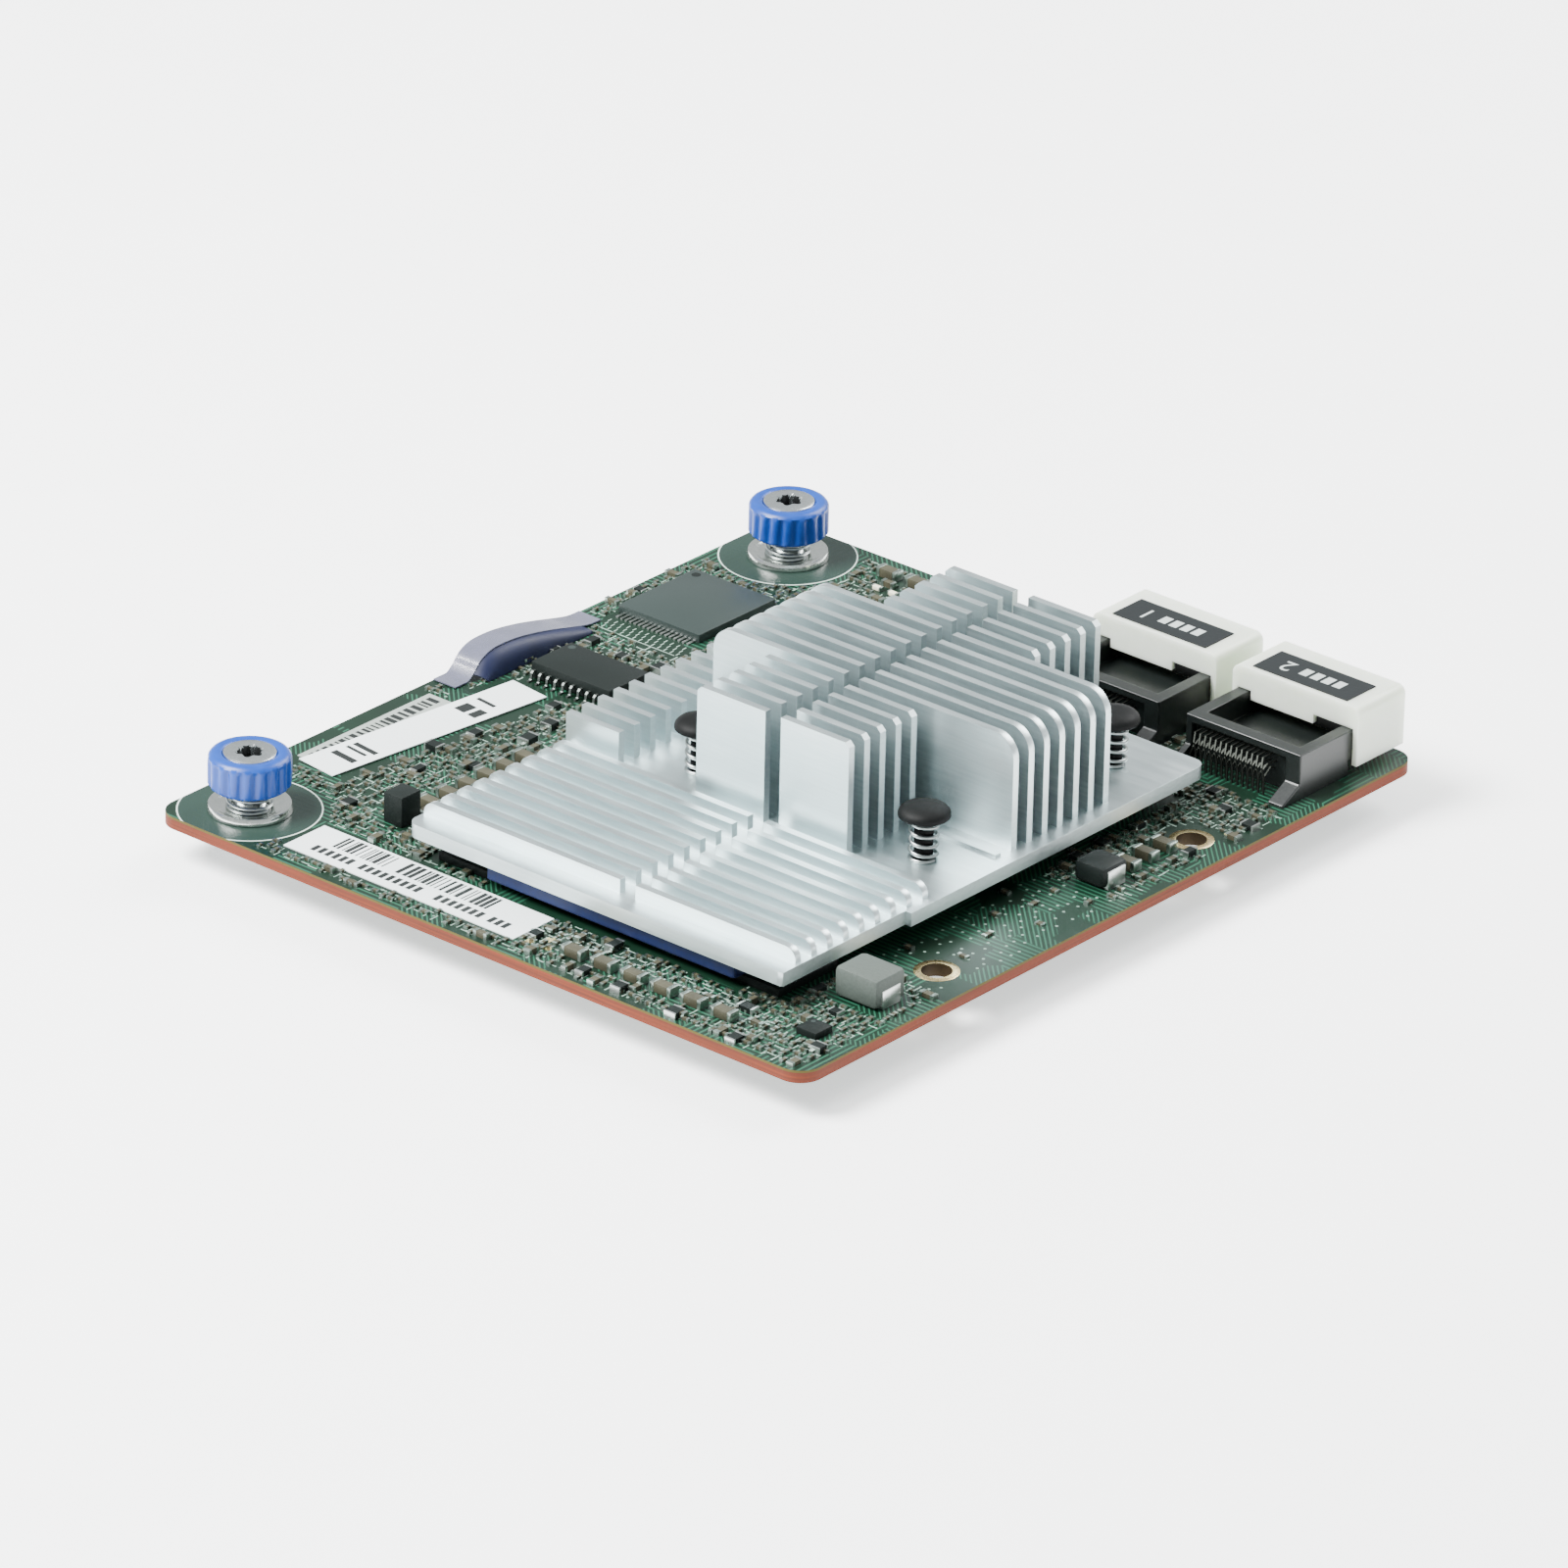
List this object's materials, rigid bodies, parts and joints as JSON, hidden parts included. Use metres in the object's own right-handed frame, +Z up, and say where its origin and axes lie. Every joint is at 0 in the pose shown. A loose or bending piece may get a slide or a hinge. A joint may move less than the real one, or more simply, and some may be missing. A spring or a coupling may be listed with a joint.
{
  "type": "raid controller card",
  "caption": "Mezzanine storage controller card with a finned heatsink on sprung push pins, captive blue thumbscrews and capped drive receptacles.",
  "frame": {"origin": "below the centre of the board, in the plane of the underside connector's mating face", "axes": "+Z up through the board towards the fins, +Y towards the rear edge with the drive receptacles, +X to the right with the plated mounting holes"},
  "size_m": [0.1016, 0.1142, 0.0256],
  "materials": {
    "board": "dark green solder mask over glass-fibre laminate",
    "bright_steel": "bright tin-plated steel",
    "can_metal": "plated steel can",
    "cap_milky": "milky translucent plastic",
    "capacitor_tan": "ceramic with tinned ends",
    "chip_black": "black moulded epoxy",
    "chip_board": "dark green package laminate",
    "chip_grey": "dark grey moulded epoxy",
    "choke_metal": "pressed iron powder, grey",
    "contact_gold": "gold-plated contacts",
    "die_silicon": "dark polished silicon",
    "film_clear": "clear lavender polyester film",
    "heatsink_metal": "fine matte aluminium, pale silver",
    "housing_black": "black glass-filled nylon",
    "knob_blue": "blue moulded nylon",
    "label_slate": "slate printed label",
    "led_cream": "cream LED bodies",
    "paper_white": "white printed paper",
    "pin_black": "black nylon",
    "screw_steel": "zinc-plated steel",
    "spring_steel": "spring steel wire",
    "strip_silver": "silvery label film",
    "thermal_pad": "soft light blue gap pad",
    "tinned_lead": "tin-plated leads"
  },
  "bodies": {
    "card": {"barcode_label": "paper_white", "bulk_capacitor": "chip_black", "cap_label_1": "label_slate", "cap_label_2": "label_slate", "controller_die": "die_silicon", "controller_substrate": "chip_board", "crystal": "can_metal", "die_thermal_pad": "thermal_pad", "drive_receptacle_1": "housing_black", "drive_receptacle_2": "housing_black", "edge_strip_label": "strip_silver", "film_pull_loop": "film_clear", "filter_choke": "chip_grey", "flash_chip": "chip_grey", "front_capacitors": "capacitor_tan", "front_ferrule": "bright_steel", "front_screw_spring": "spring_steel", "heatsink": "heatsink_metal", "left_capacitors": "capacitor_tan", "logic_chip": "chip_black", "logic_chip_leads": "tinned_lead", "memory_chip_1": "chip_black", "memory_chip_2": "chip_black", "memory_chip_3": "chip_black", "memory_chip_4": "chip_black", "memory_chip_5": "chip_black", "memory_gap_pad": "thermal_pad", "mezzanine_connector": "housing_black", "mezzanine_contacts": "tinned_lead", "pcb": "board", "port_cap_1": "cap_milky", "port_cap_2": "cap_milky", "power_choke": "choke_metal", "push_pin_front_left": "pin_black", "push_pin_front_right": "pin_black", "push_pin_rear_left": "pin_black", "push_pin_rear_right": "pin_black", "push_pin_spring_front_left": "spring_steel", "push_pin_spring_front_right": "spring_steel", "push_pin_spring_rear_left": "spring_steel", "push_pin_spring_rear_right": "spring_steel", "rear_capacitors": "capacitor_tan", "rear_ferrule": "bright_steel", "rear_screw_spring": "spring_steel", "receptacle_contacts_1": "contact_gold", "receptacle_contacts_2": "contact_gold", "regulator_chip": "chip_black", "right_capacitors": "capacitor_tan", "serial_label": "paper_white", "status_leds": "led_cream", "underside_capacitors": "capacitor_tan"},
    "front_washer": {"front_spring_washer": "bright_steel"},
    "front_thumbscrew": {"front_knob": "knob_blue", "front_screw": "screw_steel", "front_retaining_clip": "spring_steel"},
    "rear_washer": {"rear_spring_washer": "bright_steel"},
    "rear_thumbscrew": {"rear_knob": "knob_blue", "rear_screw": "screw_steel", "rear_retaining_clip": "spring_steel"}
  },
  "joints": [
    {"name": "front_screw_slide", "type": "slide", "parent": "card", "child": "front_washer", "axis": [0, 0, 1], "range_m": [-0.001, 0], "stiffness_N_per_m": 1500, "springref_m": 0.001, "deforming": ["front_screw_spring"]},
    {"name": "front_screw_turn", "type": "hinge", "parent": "front_washer", "child": "front_thumbscrew", "pos_m": [-0.0427, -0.04925, 0.0095], "axis": [0, 0, 1], "continuous": true},
    {"name": "rear_screw_slide", "type": "slide", "parent": "card", "child": "rear_washer", "axis": [0, 0, 1], "range_m": [-0.001, 0], "stiffness_N_per_m": 1500, "springref_m": 0.001, "deforming": ["rear_screw_spring"]},
    {"name": "rear_screw_turn", "type": "hinge", "parent": "rear_washer", "child": "rear_thumbscrew", "pos_m": [-0.0427, 0.04925, 0.0095], "axis": [0, 0, 1], "continuous": true}
  ]
}
